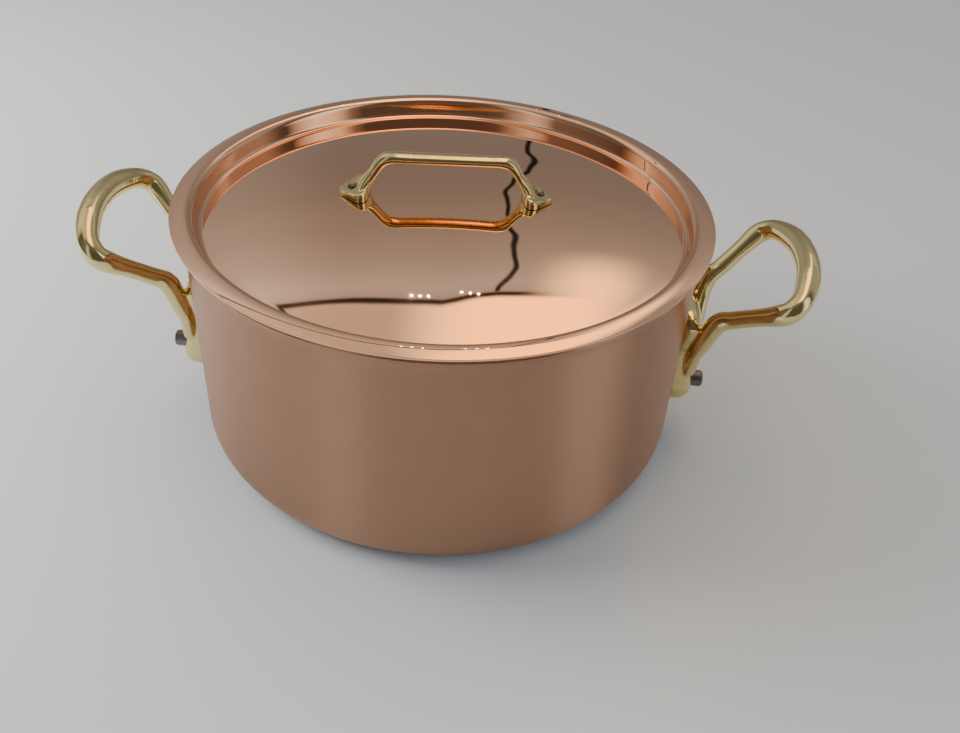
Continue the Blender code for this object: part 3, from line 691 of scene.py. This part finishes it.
def noise(tree, place, scale, detail):
    """Soft noise over a place."""
    node = node_of(tree, "ShaderNodeTexNoise")
    node.inputs["Scale"].default_value = scale
    node.inputs["Detail"].default_value = detail
    tree.links.new(place, node.inputs["Vector"])
    return node


def tint_mix(tree, tints, share):
    """The colour between two tints by a share."""
    node = node_of(tree, "ShaderNodeMix", data_type="RGBA")
    node.inputs["A"].default_value = (*tints[0], 1.0)
    node.inputs["B"].default_value = (*tints[1], 1.0)
    tree.links.new(share, node.inputs["Factor"])
    return node.outputs["Result"]


def metal(name, tints, roughness, roughness_swing, anisotropy, waves):
    """Metal of two close tints in soft clouds, with faint wipe marks that change its polish."""
    material = bpy.data.materials.new(name)
    material.use_nodes = True
    tree = material.node_tree
    shader = tree.nodes["Principled BSDF"]
    shader.inputs["Metallic"].default_value = 1.0
    shader.inputs["Anisotropic"].default_value = anisotropy
    shader.inputs["Anisotropic Rotation"].default_value = POLISH_TURN
    place = node_of(tree, "ShaderNodeTexCoord").outputs["Object"]
    cloud = noise(tree, place, *CLOUDS)
    tree.links.new(tint_mix(tree, tints, cloud.outputs["Fac"]), shader.inputs["Base Color"])
    wipe = noise(tree, place, *WIPE_MARKS)
    wipe.inputs["Roughness"].default_value = WIPE_ROUGHNESS
    rough = node_of(tree, "ShaderNodeMapRange")
    rough.inputs["From Min"].default_value = WIPE_RANGE[0]
    rough.inputs["From Max"].default_value = WIPE_RANGE[1]
    rough.inputs["To Min"].default_value = roughness - roughness_swing
    rough.inputs["To Max"].default_value = roughness + roughness_swing
    tree.links.new(wipe.outputs["Fac"], rough.inputs["Value"])
    tree.links.new(rough.outputs["Result"], shader.inputs["Roughness"])
    if waves:
        wobble(tree, shader, place, *waves)
    else:
        tangent = node_of(tree, "ShaderNodeTangent", direction_type="RADIAL", axis="Z")
        tree.links.new(tangent.outputs["Tangent"], shader.inputs["Tangent"])
    return material


def wobble(tree, shader, place, scale, height):
    """Low waves in a hand finished face, which bend what it mirrors."""
    wave = noise(tree, place, scale, WAVE_DETAIL)
    bump = node_of(tree, "ShaderNodeBump")
    bump.inputs["Distance"].default_value = height
    tree.links.new(wave.outputs["Fac"], bump.inputs["Height"])
    tree.links.new(bump.outputs["Normal"], shader.inputs["Normal"])


def place_piece(piece, material, node, body):
    """Dress a node of the frame in a fine piece that rides on the node's body."""
    piece.data.materials.clear()
    piece.data.materials.append(material)
    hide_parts(node)
    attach(piece, body)


def build_pot(materials):
    """The copper body and its lining."""
    line = pot_line()
    near = POT_COPPER_WALL + GAP
    shell = link("pot_shell_fine",
                 revolve("pot_shell_fine", sheet_outline(line, 0.0, POT_COPPER_WALL, "last")))
    lining = link("pot_lining_fine",
                  revolve("pot_lining_fine",
                          sheet_outline(line, near, near + POT_LINING_WALL, "last")))
    # the pot's copper carries painted shade in its darkened tints
    place_piece(shell, materials["pot_copper_painted_shade"], "pot_shell", "pot")
    place_piece(lining, materials["lining"], "pot_lining", "pot")


def build_side_handles(materials):
    """The two loop castings, cut to the wall and drilled for their rivets."""
    line = offset_line(pot_line(), -GAP)
    lip = line[-1]
    profile = [(0.0, -CUT_MARGIN), (line[2][0], -CUT_MARGIN)] + line[2:]
    profile += [(lip[0], lip[1] + CUT_MARGIN), (0.0, lip[1] + CUT_MARGIN)]
    wall = link("wall_tool", revolve("wall_tool", profile))
    for side, turn, lean, drop in SIDES:
        casting = joined(f"side_handle_{side}_fine",
                         (sweep(loop_stations(), LOOP_SIDES), tongue_solid(lean)))
        casting.data.transform(Matrix.Rotation(turn, 4, "Z") @ casting_place(lean, drop))
        fuse(casting, HANDLE_GRAIN, HANDLE_SMOOTHING, HANDLE_REGAIN)
        difference(casting, wall)
        sign = round(math.cos(turn))
        tools = [cylinder_tool(f"hole_{side}_{index}",
                               (sign * (POT_OUTER_RADIUS - CUT_MARGIN), 0.0, height),
                               (sign * (POT_OUTER_RADIUS + 2 * CUT_MARGIN), 0.0, height),
                               RIVET_RADIUS + GAP)
                 for index, height in enumerate((LOWER_RIVET_HEIGHT, UPPER_RIVET_HEIGHT))]
        for tool in tools:
            difference(casting, tool)
        settle(casting)
        drop_tools(tools)
        place_piece(casting, materials["brass"], f"side_handle_{side}", "pot")
    drop_tools([wall])


def rivet_outline(radius, proud_end, inner_face, head_radius, head_height, dish, edge):
    """Half outline (r, x) of a rivet: dished outer end, shank, and domed inner head."""
    # shares of the radius and of the dish
    outline = [(0.0, proud_end - dish), (0.3 * radius, proud_end - 0.95 * dish),
               (0.55 * radius, proud_end - 0.7 * dish), (0.68 * radius, proud_end - 0.2 * dish),
               (0.76 * radius, proud_end)]
    outline += arc((radius - edge, proud_end - edge), edge, 90, 0, 5)
    outline += [(radius, inner_face), (head_radius, inner_face)]
    for degrees in (12, 25, 40, 55, 70):
        angle = math.radians(degrees)
        outline.append((head_radius * math.cos(angle), inner_face - head_height * math.sin(angle)))
    outline.append((0.0, inner_face - head_height))
    return outline


def build_side_rivets(materials):
    """Two rivets through each tongue and the wall behind it."""
    inner = POT_OUTER_RADIUS - pot_sheet()
    seat = math.sqrt(inner ** 2 - RIVET_HEAD_RADIUS ** 2) - GAP
    for side, turn, lean, drop in SIDES:
        for level, height, proud in (("lower", LOWER_RIVET_HEIGHT, LOWER_RIVET_PROUD),
                                     ("upper", UPPER_RIVET_HEIGHT, UPPER_RIVET_PROUD)):
            outer = tongue_face_radius(height, lean, drop) + proud
            name = f"{side}_{level}_rivet"
            outline = rivet_outline(RIVET_RADIUS, outer, seat, RIVET_HEAD_RADIUS,
                                    RIVET_HEAD_HEIGHT, RIVET_DISH, RIVET_EDGE)
            mesh = revolve(name + "_fine", outline, RIVET_STEPS)
            mesh.transform(Matrix.Translation((0.0, 0.0, height)) @ Matrix.Rotation(turn, 4, "Z")
                           @ Matrix.Rotation(math.pi / 2, 4, "Y"))
            place_piece(link(name + "_fine", mesh), materials["rivet"], name, "pot")


def build_lid(materials):
    """The lid's copper shell and its lining."""
    near = LID_COPPER_WALL + GAP
    shell = link("lid_shell_fine",
                 revolve("lid_shell_fine",
                         sheet_outline(lid_line(), 0.0, LID_COPPER_WALL, "first")))
    lining = link("lid_lining_fine",
                  revolve("lid_lining_fine",
                          sheet_outline(lid_lining_line(), near, near + LID_LINING_WALL, "first")))
    place_piece(shell, materials["lid_copper"], "lid_shell", "lid")
    place_piece(lining, materials["lining"], "lid_lining", "lid")


def bow_stations():
    """Bar of the lid handle, from the left foot over the top to the right foot."""
    base = lid_top_at(BOW_FOOT_HALF_SPAN)
    top = lid_top_at(0.0) + BOW_HEIGHT - BOW_BAR_THICKNESS / 2
    spread = BOW_FOOT_HALF_SPAN - BOW_TOP_HALF_SPAN
    bar = BOW_BAR_WIDTH / 2
    flare = BOW_FLARE_WIDTH / 2
    thin = BOW_BAR_THICKNESS / 2
    thick = BOW_LEG_THICKNESS / 2
    # share of the rise, share of the spread, half width, half thickness
    leg = [(-0.10, 0.96, flare, thick), (0.06, 0.92, 0.96 * flare, 0.86 * thick),
           (0.17, 0.87, 0.80 * flare, 0.72 * thick), (0.29, 0.78, 0.52 * flare, 0.62 * thick),
           (0.42, 0.64, 1.1 * bar, 0.54 * thick), (0.57, 0.47, bar, 0.5 * thick),
           (0.75, 0.29, bar, thin), (0.89, 0.11, bar, 1.12 * thin),
           (0.965, -0.09, bar, 1.14 * thin), (1.0, -0.42, bar, 1.06 * thin),
           (1.0, -0.90, bar, thin)]
    half = [(-(BOW_TOP_HALF_SPAN + out * spread), base + up * (top - base), wide, deep)
            for up, out, wide, deep in leg]
    rows = half + [(0.0, top, bar, thin)] + [(-x, z, w, d) for x, z, w, d in reversed(half)]
    rows = smooth_line(rows, 2, BOW_STATIONS)
    # the bow leans towards the front as it rises
    line = [Vector((x, -BOW_LEAN * (z - base) / (top - base), z)) for x, z, wide, deep in rows]
    hint = Vector((0.0, 1.0, 0.0))
    return [(point, tangent, hint, row[2], row[3])
            for point, tangent, row in zip(line, tangents(line), rows)]


def foot_top_at(radius):
    """Height of the foot's top face, a wedge on the dome that thins towards its tip."""
    share = (radius - FOOT_INNER_HALF_SPAN) / (FOOT_TIP_HALF_SPAN - FOOT_INNER_HALF_SPAN)
    thickness = FOOT_ROOT_THICKNESS + share * (FOOT_TIP_THICKNESS - FOOT_ROOT_THICKNESS)
    return lid_top_at(radius) + thickness


def foot_solid(side):
    """Pointed foot wedge, deep enough to be cut to the dome below it."""
    low = lid_top_at(FOOT_TIP_HALF_SPAN) - FOOT_SINK
    length = FOOT_TIP_HALF_SPAN - FOOT_INNER_HALF_SPAN
    # share of the foot's length, share of its half width
    half = [(0.0, 0.0), (0.02, 0.72), (0.08, 0.88), (0.17, 0.97), (0.28, 1.0), (0.40, 0.92),
            (0.54, 0.77), (0.70, 0.58), (0.86, 0.38), (0.96, 0.22), (1.0, 0.0)]
    shape = half + [(along, -across) for along, across in reversed(half[1:-1])]
    bm = bmesh.new()
    face = bm.faces.new([bm.verts.new((side * (FOOT_INNER_HALF_SPAN + along * length),
                                       across * FOOT_HALF_WIDTH, low))
                         for along, across in shape])
    moved = bmesh.ops.extrude_face_region(bm, geom=[face])["geom"]
    upper = [item for item in moved if isinstance(item, bmesh.types.BMVert)]
    for vert in upper:
        vert.co.z = foot_top_at(abs(vert.co.x))
    rim = [edge for edge in bm.edges if all(vert in upper for vert in edge.verts)]
    bmesh.ops.bevel(bm, geom=rim, offset=FOOT_EDGE_BEVEL, segments=FOOT_BEVEL_STEPS,
                    profile=0.5, affect="EDGES", clamp_overlap=True)
    return bm


def build_lid_handle(materials):
    """The bow and its feet as one casting, cut to the dome and drilled for its rivets."""
    line = offset_line(lid_line(), -GAP)
    low = lid_top_at(LID_OUTER_RADIUS / 2) - 2 * CUT_MARGIN
    dome = link("dome_tool", revolve("dome_tool", [(0.0, low), (line[0][0], low)] + line))
    casting = joined("lid_handle_fine",
                     (sweep(bow_stations(), BOW_SIDES), foot_solid(-1), foot_solid(1)))
    fuse(casting, BOW_GRAIN, BOW_SMOOTHING, BOW_REGAIN)
    difference(casting, dome)
    middle = lid_top_at(LID_RIVET_HALF_SPAN)
    tools = [cylinder_tool(f"lid_hole_{index}",
                           (side * LID_RIVET_HALF_SPAN, 0.0, middle - CUT_MARGIN),
                           (side * LID_RIVET_HALF_SPAN, 0.0, middle + CUT_MARGIN),
                           LID_RIVET_RADIUS + GAP) for index, side in enumerate((-1, 1))]
    for tool in tools:
        difference(casting, tool)
    settle(casting)
    drop_tools(tools + [dome])
    casting.data.transform(Matrix.Rotation(LID_TURN, 4, "Z"))
    place_piece(casting, materials["brass"], "lid_handle", "lid")


def build_lid_rivets(materials):
    """One rivet through each foot and the lid below it."""
    face = foot_top_at(LID_RIVET_HALF_SPAN)
    under = lid_sheet() / math.cos(LID_DOME_SLOPE) + GAP
    seat = lid_top_at(LID_RIVET_HALF_SPAN + LID_RIVET_HEAD_RADIUS) - under
    outline = rivet_outline(LID_RIVET_RADIUS, face + LID_RIVET_PROUD, seat, LID_RIVET_HEAD_RADIUS,
                            LID_RIVET_HEAD_HEIGHT, LID_RIVET_DISH, LID_RIVET_EDGE)
    for name, side in (("lid_left_rivet", -1), ("lid_right_rivet", 1)):
        mesh = revolve(name + "_fine", outline, LID_RIVET_STEPS)
        mesh.transform(Matrix.Rotation(LID_TURN, 4, "Z")
                       @ Matrix.Translation((side * LID_RIVET_HALF_SPAN, 0.0, 0.0)))
        place_piece(link(name + "_fine", mesh), materials["rivet"], name, "lid")


def build_floor():
    """A plain pale floor under the pot."""
    material = bpy.data.materials.new("floor")
    material.use_nodes = True
    tree = material.node_tree
    shader = tree.nodes["Principled BSDF"]
    shader.inputs["Roughness"].default_value = FLOOR_ROUGHNESS
    shader.inputs["Specular IOR Level"].default_value = FLOOR_SPECULAR
    place = node_of(tree, "ShaderNodeTexCoord").outputs["Object"]
    cloud = noise(tree, place, *FLOOR_CLOUDS)
    tree.links.new(tint_mix(tree, FLOOR_TINTS, cloud.outputs["Fac"]), shader.inputs["Base Color"])
    bm = bmesh.new()
    bmesh.ops.create_grid(bm, x_segments=1, y_segments=1, size=FLOOR_HALF)
    floor = link("floor", mesh_from(bm, "floor"))
    floor.location.z = -FLOOR_DROP
    floor.data.materials.append(material)


def maths(tree, operation, *values):
    """A maths node whose inputs are numbers or the sockets of other nodes."""
    node = node_of(tree, "ShaderNodeMath", operation=operation)
    for socket, value in zip(node.inputs, values):
        if isinstance(value, (int, float)):
            socket.default_value = value
        else:
            tree.links.new(value, socket)
    return node.outputs["Value"]


def product(tree, value, *factors):
    """A value times its factors, one after the other."""
    for factor in factors:
        value = maths(tree, "MULTIPLY", value, factor)
    return value


def inverse(tree, value):
    """One less a value."""
    return maths(tree, "SUBTRACT", 1.0, value)


def smooth_step(tree, value, low, high):
    """Zero below the low value, one above the high value and smooth between them."""
    node = node_of(tree, "ShaderNodeMapRange", interpolation_type="SMOOTHSTEP")
    node.inputs["From Min"].default_value = low
    node.inputs["From Max"].default_value = high
    tree.links.new(value, node.inputs["Value"])
    return node.outputs["Result"]


def thin_line(tree, distance, width):
    """One on a line and zero from a width away."""
    away = maths(tree, "ABSOLUTE", distance)
    return inverse(tree, smooth_step(tree, away, LINE_CORE * width, width))


def grey_ramp(tree, value, stops):
    """Brightness read from (place, brightness) stops."""
    node = node_of(tree, "ShaderNodeFloatCurve")
    curve = node.mapping.curves[0]
    peak = max(level for place, level in stops)
    curve.points[0].location = (stops[0][0], stops[0][1] / peak)
    curve.points[1].location = (stops[-1][0], stops[-1][1] / peak)
    for place, level in stops[1:-1]:
        curve.points.new(place, level / peak)
    for point in curve.points:
        point.handle_type = "VECTOR"
    node.mapping.update()
    tree.links.new(value, node.inputs["Value"])
    return product(tree, node.outputs["Value"], peak)


def build_light():
    """A pale folded tent with a bright opening, which the camera itself sees as plain grey."""
    world = bpy.data.worlds.new("studio")
    bpy.context.scene.world = world
    world.use_nodes = True
    tree = world.node_tree
    plain = tree.nodes["Background"]
    plain.inputs["Color"].default_value = (*BACKDROP_COLOUR, 1.0)
    plain.inputs["Strength"].default_value = BACKDROP_LEVEL
    tent = node_of(tree, "ShaderNodeBackground")
    level, warmth = tent_level(tree)
    tint = tint_mix(tree, ((1.0, 1.0, 1.0), OPENING_COLOUR), warmth)
    tree.links.new(tint, tent.inputs["Color"])
    tree.links.new(level, tent.inputs["Strength"])
    path = node_of(tree, "ShaderNodeLightPath")
    either = node_of(tree, "ShaderNodeMixShader")
    tree.links.new(path.outputs["Is Camera Ray"], either.inputs["Fac"])
    tree.links.new(tent.outputs["Background"], either.inputs[1])
    tree.links.new(plain.outputs["Background"], either.inputs[2])
    tree.links.new(either.outputs["Shader"], tree.nodes["World Output"].inputs["Surface"])
    add_lights()


def tent_level(tree):
    """Brightness of the mirrored tent by direction, and how warm it is there."""
    place = node_of(tree, "ShaderNodeTexCoord").outputs["Generated"]
    split = node_of(tree, "ShaderNodeSeparateXYZ")
    tree.links.new(place, split.inputs["Vector"])
    across, beyond, height = split.outputs
    folds = noise(tree, place, *TENT_FOLDS)
    fold = maths(tree, "SUBTRACT", folds.outputs["Fac"], 0.5)
    # the tilt runs from 0 at the far horizon over the zenith to 1 at the camera's horizon
    tilt = maths(tree, "DIVIDE", maths(tree, "ARCTAN2", height, beyond), math.pi)
    rightward = maths(tree, "MAXIMUM", maths(tree, "ADD", across, TENT_EDGE_START), 0.0)
    lowered = maths(tree, "ADD", tilt, product(tree, rightward, TENT_EDGE_DROP))
    wavy = maths(tree, "ADD", lowered, product(tree, fold, TENT_FOLD_SWING))
    left = smooth_step(tree, product(tree, across, -1.0), *TENT_LEFT)
    gain = maths(tree, "ADD", product(tree, left, TENT_LEFT_GAIN), 1.0)
    level = product(tree, grey_ramp(tree, wavy, TENT_LEVELS), gain,
                    beside_lines(tree, across, fold, wavy))
    opening = opening_share(tree, across, tilt, wavy)
    level = maths(tree, "ADD", level, product(tree, opening, OPENING_LEVEL))
    level = near_horizon(tree, across, beyond, height, level)
    return level, maths(tree, "POWER", opening, OPENING_WARMTH)


def beside_lines(tree, across, fold, wavy):
    """What the tent's two dark lines leave of its brightness."""
    # the hem of the opening runs out on the right
    hem = thin_line(tree, maths(tree, "SUBTRACT", wavy, HEM_TILT), HEM_WIDTH)
    hem = product(tree, hem, inverse(tree, smooth_step(tree, across, *HEM_FADE)))
    # a hanging seam meets it from below
    from_seam = maths(tree, "ADD", maths(tree, "SUBTRACT", across, SEAM_ACROSS),
                      product(tree, fold, SEAM_SWING))
    below = inverse(tree, smooth_step(tree, wavy, HEM_TILT - SEAM_FADE, HEM_TILT))
    seam = product(tree, thin_line(tree, from_seam, SEAM_WIDTH), below)
    return inverse(tree, product(tree, maths(tree, "MAXIMUM", hem, seam), LINE_DARKNESS))


def opening_share(tree, across, tilt, wavy):
    """Where the tent is open, which is narrower on the left and starts lower on the right."""
    inside = smooth_step(tree, wavy, HEM_TILT, HEM_TILT + OPENING_EDGE)
    low_side = product(tree, smooth_step(tree, across, *OPENING_LOW_ACROSS),
                       smooth_step(tree, wavy, *OPENING_LOW_TILT))
    inside = maths(tree, "MAXIMUM", inside, low_side)
    short_of_top = inverse(tree, smooth_step(tree, tilt, *OPENING_TOP))
    left = smooth_step(tree, product(tree, across, -1.0), *OPENING_LEFT)
    left_rest = inverse(tree, product(tree, left, OPENING_LEFT_LOSS))
    right_rest = inverse(tree, smooth_step(tree, across, *OPENING_RIGHT))
    return product(tree, inside, short_of_top, left_rest, right_rest)


def near_horizon(tree, across, beyond, height, level):
    """Blend a brightness into the band on the camera's side, which changes with the direction."""
    turn = maths(tree, "ARCTAN2", across, product(tree, beyond, -1.0))
    share_of_turn = maths(tree, "ADD", maths(tree, "DIVIDE", turn, math.tau), 0.5)
    low = grey_ramp(tree, share_of_turn, HORIZON_LEVELS)
    near_side = inverse(tree, smooth_step(tree, beyond, *HORIZON_NEAR))
    below = inverse(tree, smooth_step(tree, height, *HORIZON_TOP))
    share = product(tree, near_side, below)
    return maths(tree, "ADD", product(tree, level, inverse(tree, share)),
                 product(tree, low, share))


def add_light(name, kind, energy, place, **values):
    """A light at a place, which the camera doesn't see."""
    data = bpy.data.lights.new(name, kind)
    data.energy = energy
    for field, value in values.items():
        setattr(data, field, value)
    light = bpy.data.objects.new(name, data)
    bpy.context.scene.collection.objects.link(light)
    light.location = place
    light.visible_camera = False
    return light


def add_lights():
    """Lamps that sparkle in polished faces, and soft light that they don't mirror."""
    for group, middle in enumerate(LAMP_GROUPS):
        for index in (-1, 0, 1):
            direction = Vector((middle[0] + index * LAMP_STEP, middle[1], middle[2])).normalized()
            add_light(f"lamp_{group}_{index + 1}", "POINT", LAMP_POWER,
                      direction * LAMP_DISTANCE + Vector((0.0, 0.0, POT_HEIGHT)),
                      shadow_soft_size=LAMP_RADIUS)
    for number, (place, target, size, power) in enumerate(SOFTBOXES):
        softbox = add_light(f"softbox_{number}", "AREA", power, place,
                            size=size, color=SOFTBOX_COLOUR)
        softbox.rotation_euler = (target - place).to_track_quat("-Z", "Y").to_euler()
        softbox.visible_glossy = False
    sky = add_light("sky", "SUN", SKY_STRENGTH, Vector(), angle=SKY_ANGLE, color=SOFTBOX_COLOUR)
    sky.visible_glossy = False


def build_camera():
    """The camera stands where the photograph was taken from."""
    yaw, pitch, roll = CAMERA_YAW, CAMERA_PITCH, CAMERA_ROLL
    forward = Vector((math.sin(yaw) * math.cos(pitch), math.cos(yaw) * math.cos(pitch),
                      -math.sin(pitch)))
    level = Vector((math.cos(yaw), -math.sin(yaw), 0.0))
    rise = level.cross(forward)
    right = level * math.cos(roll) + rise * math.sin(roll)
    up = rise * math.cos(roll) - level * math.sin(roll)
    turn = Matrix.Rotation(CAMERA_TURN, 3, "Z")
    rotation = turn @ Matrix((right, up, -forward)).transposed()
    place = turn @ CAMERA_PLACE + Vector((0.0, 0.0, CAMERA_ORIGIN_HEIGHT))
    data = bpy.data.cameras.new("camera")
    data.sensor_width = SENSOR_WIDTH
    data.lens = SENSOR_WIDTH * FOCAL_PIXELS / IMAGE_WIDTH
    data.clip_start = CAMERA_CLIP_START
    camera = bpy.data.objects.new("camera", data)
    bpy.context.scene.collection.objects.link(camera)
    camera.matrix_world = Matrix.Translation(place) @ rotation.to_4x4()
    bpy.context.scene.camera = camera


materials = {name: metal(name, *look) for name, look in METALS.items()}
build_pot(materials)
build_side_handles(materials)
build_side_rivets(materials)
build_lid(materials)
build_lid_handle(materials)
build_lid_rivets(materials)
build_floor()
build_light()
build_camera()
